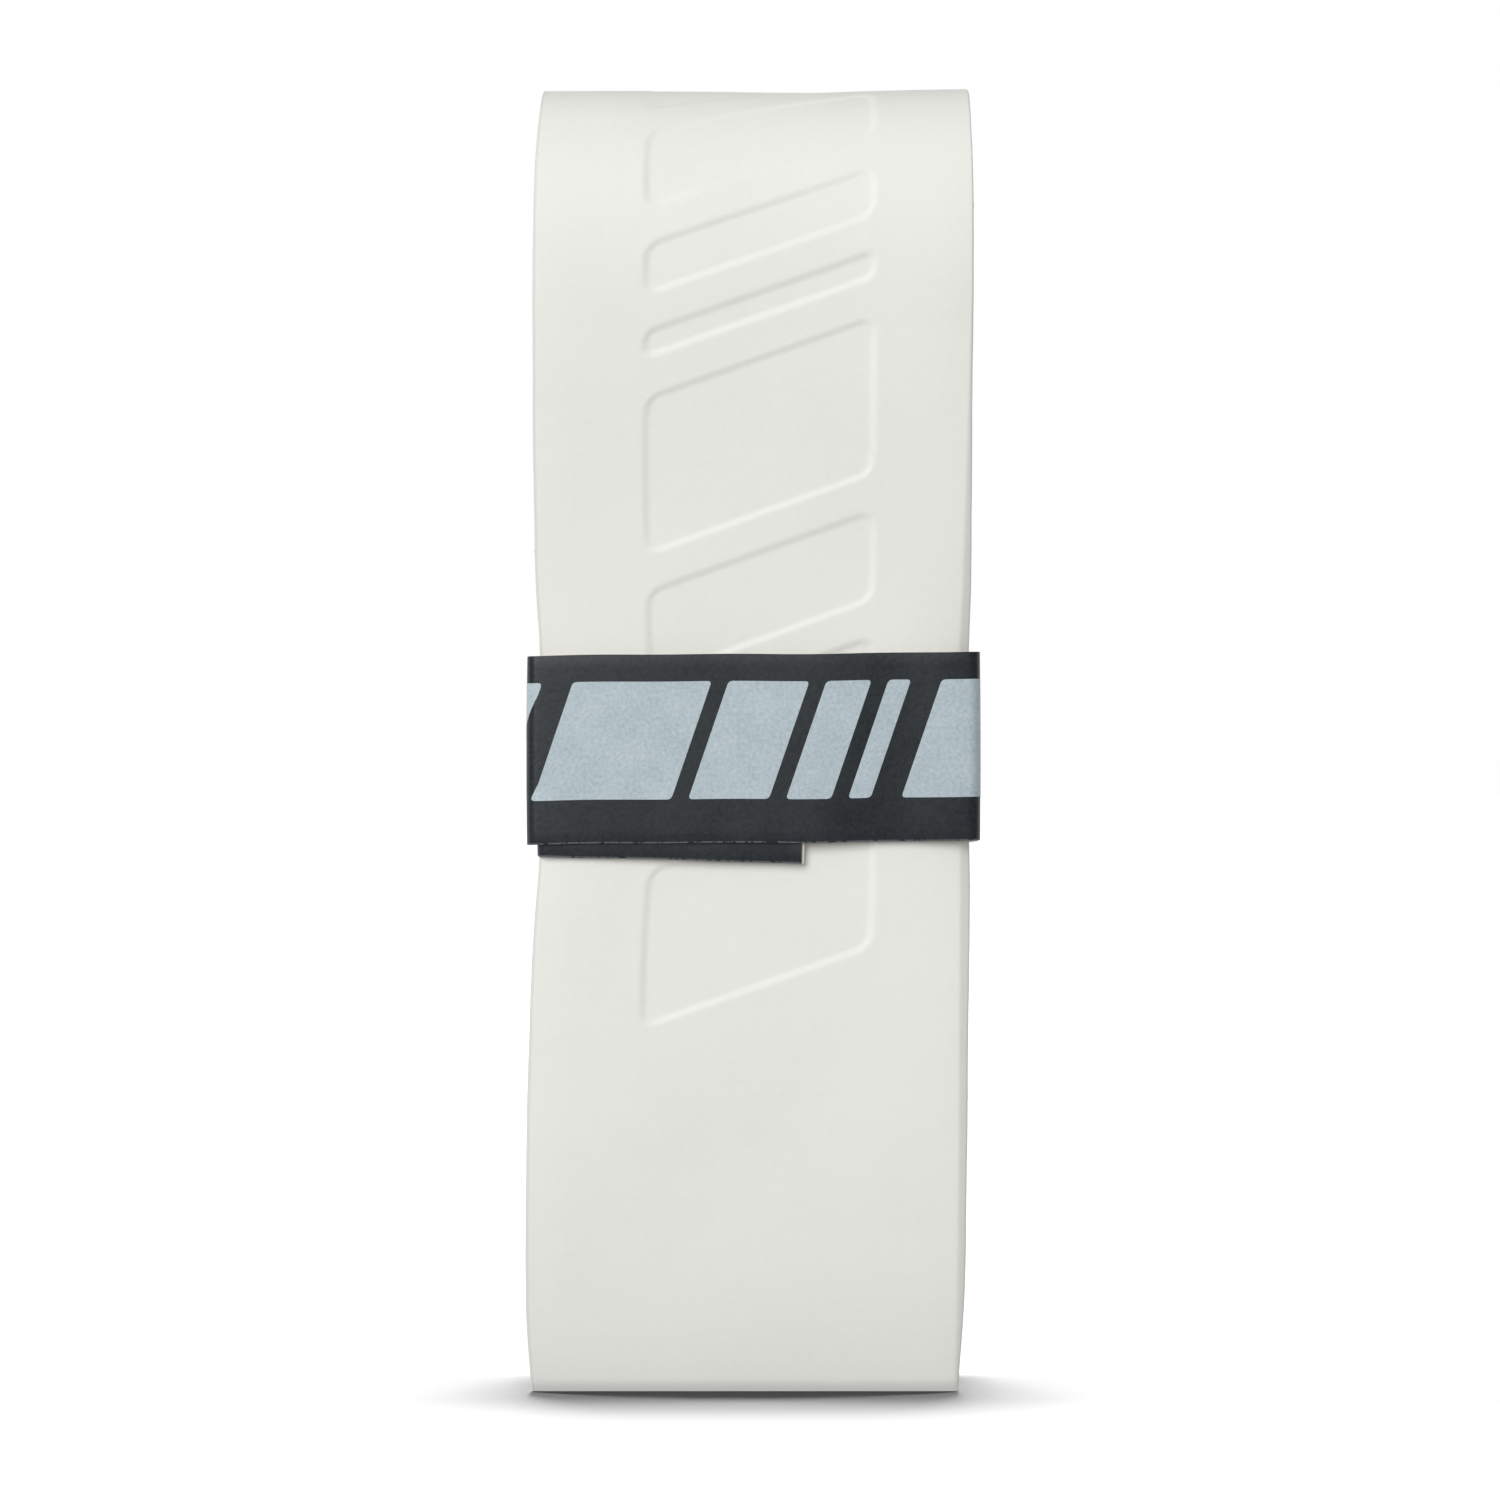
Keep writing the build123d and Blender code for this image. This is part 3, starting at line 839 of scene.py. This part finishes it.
T_PEEL = STRIP_LEN - (PEEL_END_X - PEEL_X)
T_FRONT2 = lens[4]      # where the second pass over the front starts, at its right corner
T_CENTRE = T_FRONT2 + (R1 - 0.0)


def ease(t):
    """Distance the strip stands off its path: it steps over its own first end, and its ends lift."""
    t = np.asarray(t, float)
    x = strip_frame(t)[0]
    on_front2 = (t > T_FRONT2 + 0.5) & (t < lens[5] - 1.0)
    off = np.zeros_like(t)
    # right of the first end nothing lies under the second pass, which sinks onto the grip
    off = off - np.where(on_front2, 0.13 * smoothstep((x - (start_x - 0.1)) / 5.0) * smoothstep((12.9 - x) / 4.0), 0)
    # between its corners the front bows out a little
    front = (t < lens[1]) | ((t > T_FRONT2) & (t < lens[5]))
    off = off + np.where(front, 0.24 * np.clip(1 - np.abs(x / 13.4) ** 3, 0, 1), 0)
    off = off + 0.10 * np.clip(1 - t / 1.6, 0, 1) ** 2
    off = off + 0.22 * np.clip((t - (STRIP_LEN - 4.5)) / 4.5, 0, 1) ** 2
    return off


def on_strip(t, v, n):
    x, y, nx, ny, z = strip_frame(t)
    # the strip bows out a hair between its two long edges, and its edges ripple slightly
    bow = 0.035 * (1 - ((v - BAND / 2) / (BAND / 2)) ** 2) + 0.02 * np.sin(2 * math.pi * (t / 17.0 + v / 31.0))
    k = n + ease(t) + bow
    zz = z + v + 0.03 * np.sin(2 * math.pi * t / 23.0) + 0.02 * np.sin(2 * math.pi * t / 9.1 + 1.0)
    return np.stack([x + nx * k, y + ny * k, zz], -1)


def strip_ring(n0, n1, r=0.035, v_cols=16):
    """Outline across the strip, as (height, distance out)."""
    a = np.linspace(0, math.pi / 2, 4)
    vs = np.linspace(r, BAND - r, v_cols)
    pts = [(v, n1) for v in vs]
    pts += [(BAND - r + r * math.sin(t), n1 - r + r * math.cos(t)) for t in a[1:]]
    pts += [(BAND - r + r * math.cos(t), n0 + r - r * math.sin(t)) for t in a]
    pts += [(v, n0) for v in vs[::-1][1:-1]]
    pts += [(r - r * math.sin(t), n0 + r - r * math.cos(t)) for t in a]
    pts += [(r - r * math.cos(t), n1 - r + r * math.sin(t)) for t in a[:-1]]
    return np.array(pts)


def strip_piece(name, t_rows, n0, n1, material, body=None, slant0=0.0, round_end=0.0):
    ring = strip_ring(n0, n1, r=min(0.035, (n1 - n0) * 0.3))
    rows, m = len(t_rows), len(ring)
    t = np.repeat(t_rows[:, None], m, 1)
    v = np.repeat(ring[None, :, 0], rows, 0)
    n = np.repeat(ring[None, :, 1], rows, 0)
    if slant0:      # the starting end is cut at a slant
        t = t + slant0 * (1 - v / BAND) * np.clip(1 - (t - t_rows[0]) / 3.0, 0, 1)
    if round_end:   # rounded corners of the loose end
        near = np.clip(round_end - (t_rows[-1] - t), 0, round_end)
        cut = round_end - np.sqrt(np.maximum(round_end**2 - near**2, 0))
        v = np.clip(v, cut, BAND - cut)
    p = on_strip(t, v, n)
    flat = np.stack([t, v, n], -1)
    obj = to_object(name, p.reshape(-1, 3), swept_faces(rows, m), {"flat": flat.reshape(-1, 3)})
    finish_piece(obj, material, body)
    return obj


main_rows = strip_t[strip_t < T_PEEL - 0.05]
main_rows = np.concatenate([main_rows, [T_PEEL]])
film = strip_piece("finishing_tape_film", main_rows, TACK + 0.002, TACK + FILM, FILM_M, "band", slant0=0.35)
tack_rows = main_rows.copy()
tack_rows[0] = -0.16
tack = strip_piece("finishing_tape_tack", tack_rows, 0.0, TACK, GLUE_M, "band", slant0=0.35)
end_rows = np.concatenate([
    np.linspace(T_PEEL, T_PEEL + 3.0, 25),
    np.linspace(T_PEEL + 3.4, STRIP_LEN - 1.3, 18),
    STRIP_LEN - 1.1 * (1 - np.sin(np.linspace(0, math.pi / 2, 12))),
])
film_end = strip_piece("finishing_tape_loose_end", end_rows, TACK + 0.002, TACK + FILM, FILM_M, round_end=1.1)
tack_end = strip_piece("finishing_tape_loose_end_tack", end_rows, 0.0, TACK, GLUE_M, round_end=1.1)
for obj, node in ((film, "finishing_tape"), (tack, "finishing_adhesive"), (film_end, "finishing_tape_end"), (tack_end, "finishing_end_adhesive")):
    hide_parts(node)

# print: the same plain graduated bars, slanting, in pale ink
INK_T = 0.010
PRINT_LOW, PRINT_HIGH = 2.72, 10.02
SLANT = math.tan(math.radians(19))
UNIT = ((8.6, 1.05), (5.0, 1.05), (2.8, 1.05), (1.4, 1.9))
PERIOD = sum(a + b for a, b in UNIT)
print_bars = []     # (from, to) along tau, which is x on the front and runs left to right all round
for n in range(-8, 9):
    u = -13.55 + n * PERIOD
    for wdt, gap in UNIT:
        print_bars.append((u, u + wdt))
        u += wdt + gap


def rounded_bar(u0, u1, r):
    """Outline of one slanting bar in (tau, v), its corners rounded."""
    r = min(r, (u1 - u0) * 0.3)
    quad = []
    for (uu, vv) in ((u0, PRINT_LOW), (u1, PRINT_LOW), (u1, PRINT_HIGH), (u0, PRINT_HIGH)):
        quad.append(np.array([uu + (vv - PRINT_LOW) * SLANT, vv]))
    out = []
    for i in range(4):
        q = quad[i]
        a = quad[i - 1] - q
        b = quad[(i + 1) % 4] - q
        a, b = a / np.linalg.norm(a), b / np.linalg.norm(b)
        for t in np.linspace(0, 1, 6):      # a soft corner by a quadratic curve
            p0, p2 = q + a * r, q + b * r
            out.append((1 - t) ** 2 * p0 + 2 * t * (1 - t) * q + t * t * p2)
    return out


def print_mesh(name, t_low, t_high, body=None):
    """All bars, or parts of bars, between two lengths along the strip, as one thin closed mesh."""
    bm = bmesh.new()
    for u0, u1 in print_bars:
        if T_CENTRE - u1 - 4 > t_high or T_CENTRE - u0 + 0.1 < t_low:
            continue
        poly = rounded_bar(u0, u1, 0.28)
        vs = [bm.verts.new((T_CENTRE - p[0], p[1], 0)) for p in poly]
        bm.faces.new(vs)
    cuts = [t for t in strip_t if t_low < t < t_high]
    lo, hi = bm.verts[:] and (min(v.co.x for v in bm.verts), max(v.co.x for v in bm.verts)) or (0, 0)
    cuts = [t for t in cuts if lo < t < hi]
    for t, inner, outer in ((t_low, True, False), (t_high, False, True)):
        bmesh.ops.bisect_plane(bm, geom=bm.verts[:] + bm.edges[:] + bm.faces[:], dist=1e-6, plane_co=(t, 0, 0), plane_no=(1, 0, 0), clear_inner=inner, clear_outer=outer)
    for t in cuts:
        bmesh.ops.bisect_plane(bm, geom=bm.verts[:] + bm.edges[:] + bm.faces[:], dist=1e-6, plane_co=(t, 0, 0), plane_no=(1, 0, 0))
    for v in np.arange(PRINT_LOW + 1.2, PRINT_HIGH - 0.5, 1.2):
        bmesh.ops.bisect_plane(bm, geom=bm.verts[:] + bm.edges[:] + bm.faces[:], dist=1e-6, plane_co=(0, float(v), 0), plane_no=(0, 1, 0))
    face_list = [f for f in bm.faces]
    made = bmesh.ops.extrude_face_region(bm, geom=face_list)
    for v in (g for g in made["geom"] if isinstance(g, bmesh.types.BMVert)):
        v.co.z = INK_T
    bm.verts.index_update()
    co = np.array([v.co for v in bm.verts], float)
    faces = [[v.index for v in f.verts] for f in bm.faces]
    bm.free()
    n = TACK + FILM + 0.004 + co[:, 2]
    p = on_strip(co[:, 0], co[:, 1], n)
    obj = to_object(name, p, faces, {"flat": np.stack([co[:, 0], co[:, 1], co[:, 2]], -1)})
    finish_piece(obj, INK_M, body)
    return obj


T_PRINT_FROM = lens[2] + (PEEL_X - 0.6 - L1)     # on the back, under the root of the loose end
print_band = print_mesh("finishing_tape_print", T_PRINT_FROM, T_PEEL - 0.001, "band")
print_end = print_mesh("finishing_tape_loose_end_print", T_PEEL + 0.001, STRIP_LEN - 0.35)
for obj in (film_end, tack_end, print_end):
    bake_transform(obj)

# ------------------------------------------------------------------ floor, lights, camera
floor_mesh = bpy.data.meshes.new("floor")
R = 6.0
floor_mesh.from_pydata([(-R, -R, 0), (R, -R, 0), (R, R, 0), (-R, R, 0)], [], [(0, 1, 2, 3)])
floor = bpy.data.objects.new("floor", floor_mesh)
bpy.context.scene.collection.objects.link(floor)
floor.location.z = -0.00002
fm, fnt, fb = nodes_of("floor")
fb.inputs["Base Color"].default_value = (0.13, 0.13, 0.13, 1)
fb.inputs["Roughness"].default_value = 1.0
fb.inputs["Specular IOR Level"].default_value = 0.0
floor_mesh.materials.append(fm)
floor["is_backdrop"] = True
floor.visible_diffuse = False
floor.visible_glossy = False

floor_only = bpy.data.collections.new("floor_only")
bpy.context.scene.collection.children.link(floor_only)
floor_only.objects.link(floor)
roll_only = bpy.data.collections.new("object_only")
bpy.context.scene.collection.children.link(roll_only)
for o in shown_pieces():
    roll_only.objects.link(o)


def aim(obj, target):
    d = Vector(target) - obj.location
    obj.rotation_euler = d.to_track_quat("-Z", "Y").to_euler()


def area(name, where, target, size, power, colour=(1, 1, 1), size_y=None, receivers=None):
    light = bpy.data.lights.new(name, "AREA")
    light.shape = "RECTANGLE" if size_y else "SQUARE"
    light.size = size
    if size_y:
        light.size_y = size_y
    light.energy = power
    light.color = colour
    o = bpy.data.objects.new(name, light)
    bpy.context.scene.collection.objects.link(o)
    o.location = where
    aim(o, target)
    if receivers:
        o.light_linking.receiver_collection = receivers
    return o


def sun(name, direction, strength, angle_deg, receivers):
    light = bpy.data.lights.new(name, "SUN")
    light.energy = strength
    light.angle = math.radians(angle_deg)
    o = bpy.data.objects.new(name, light)
    bpy.context.scene.collection.objects.link(o)
    o.location = Vector(direction) * -1.0
    aim(o, (0, 0, 0))
    o.light_linking.receiver_collection = receivers
    return o


KEY_EL, KEY_AZ, KEY_D = math.radians(25), math.radians(25), 1.6
key_pos = (-KEY_D * math.cos(KEY_EL) * math.sin(KEY_AZ), -KEY_D * math.cos(KEY_EL) * math.cos(KEY_AZ), 0.045 + KEY_D * math.sin(KEY_EL))
area("key_softbox", key_pos, (0, 0, 0.045), 1.30, 23.9, (1.0, 0.995, 0.985), receivers=roll_only)
sun("overhead_1", (-0.004, -0.118, -1.0), 9.9, 12, floor_only)
sun("overhead_2", (-0.004, -0.250, -1.0), 10.0, 12, floor_only)
sun("side_left", (0.60, -0.17, -1.0), 4.2, 12, floor_only)
sun("side_right", (-0.60, -0.17, -1.0), 4.2, 12, floor_only)

world = bpy.data.worlds.new("studio")
bpy.context.scene.world = world
world.use_nodes = True
wt = world.node_tree
wt.nodes.clear()
out = wt.nodes.new("ShaderNodeOutputWorld")
lp = wt.nodes.new("ShaderNodeLightPath")
see = wt.nodes.new("ShaderNodeBackground")
see.inputs["Color"].default_value = (1, 1, 1, 1)
see.inputs["Strength"].default_value = 1.0
lit = wt.nodes.new("ShaderNodeBackground")
lit.inputs["Strength"].default_value = 1.0
tc = wt.nodes.new("ShaderNodeTexCoord")
sepw = wt.nodes.new("ShaderNodeSeparateXYZ")
wt.links.new(tc.outputs["Generated"], sepw.inputs["Vector"])


def wmath(op, a, b=None, c=None):
    n = wt.nodes.new("ShaderNodeMath")
    n.operation = op
    for i, v in enumerate((a, b, c)):
        if v is None:
            continue
        if isinstance(v, (int, float)):
            n.inputs[i].default_value = v
        else:
            wt.links.new(v, n.inputs[i])
    return n.outputs[0]


# a plain pale room: dim in front, where the softbox does the work, and bright low down behind
FRONT_LIGHT, BACK_LIGHT, FLOOR_LIGHT, CEILING_LIGHT = 0.21, 0.80, 0.22, 0.27


def wstep(value, lo, hi):
    m = wt.nodes.new("ShaderNodeMapRange")
    m.interpolation_type = "SMOOTHSTEP"
    m.inputs["From Min"].default_value = lo
    m.inputs["From Max"].default_value = hi
    wt.links.new(value, m.inputs["Value"])
    return m.outputs["Result"]


behind = wstep(sepw.outputs["Y"], -0.15, 0.35)
low_down = wmath("SUBTRACT", 1.0, wstep(sepw.outputs["Z"], 0.25, 0.65))
g3 = wmath("MULTIPLY_ADD", wmath("MULTIPLY", behind, low_down), BACK_LIGHT, FRONT_LIGHT)
# the pale floor gives light back from below, the ceiling a little from above
from_below = wstep(wmath("MULTIPLY", sepw.outputs["Z"], -1.0), 0.0, 0.5)
from_above = wstep(sepw.outputs["Z"], 0.45, 0.95)
g3 = wmath("MULTIPLY_ADD", from_below, FLOOR_LIGHT, g3)
g3 = wmath("MULTIPLY_ADD", from_above, CEILING_LIGHT, g3)
grey = wt.nodes.new("ShaderNodeCombineColor")
for ch, f in (("Red", 1.0), ("Green", 1.0), ("Blue", 1.0)):
    wt.links.new(wmath("MULTIPLY", g3, f), grey.inputs[ch])
wt.links.new(grey.outputs["Color"], lit.inputs["Color"])
mixw = wt.nodes.new("ShaderNodeMixShader")
wt.links.new(lp.outputs["Is Camera Ray"], mixw.inputs["Fac"])
wt.links.new(lit.outputs["Background"], mixw.inputs[1])
wt.links.new(see.outputs["Background"], mixw.inputs[2])
wt.links.new(mixw.outputs["Shader"], out.inputs["Surface"])

cam_data = bpy.data.cameras.new("camera")
cam = bpy.data.objects.new("camera", cam_data)
bpy.context.scene.collection.objects.link(cam)
cam.location = (-0.000216, -0.500, 0.03994)
cam.rotation_euler = (math.radians(90), 0, 0)
cam_data.sensor_width = 36.0
cam_data.lens = 190.4
cam_data.clip_start = 0.01
cam_data.clip_end = 50
bpy.context.scene.camera = cam

vs = bpy.context.scene.view_settings
vs.view_transform = "Standard"
vs.look = "None"
vs.exposure = 0.0
vs.gamma = 1.0
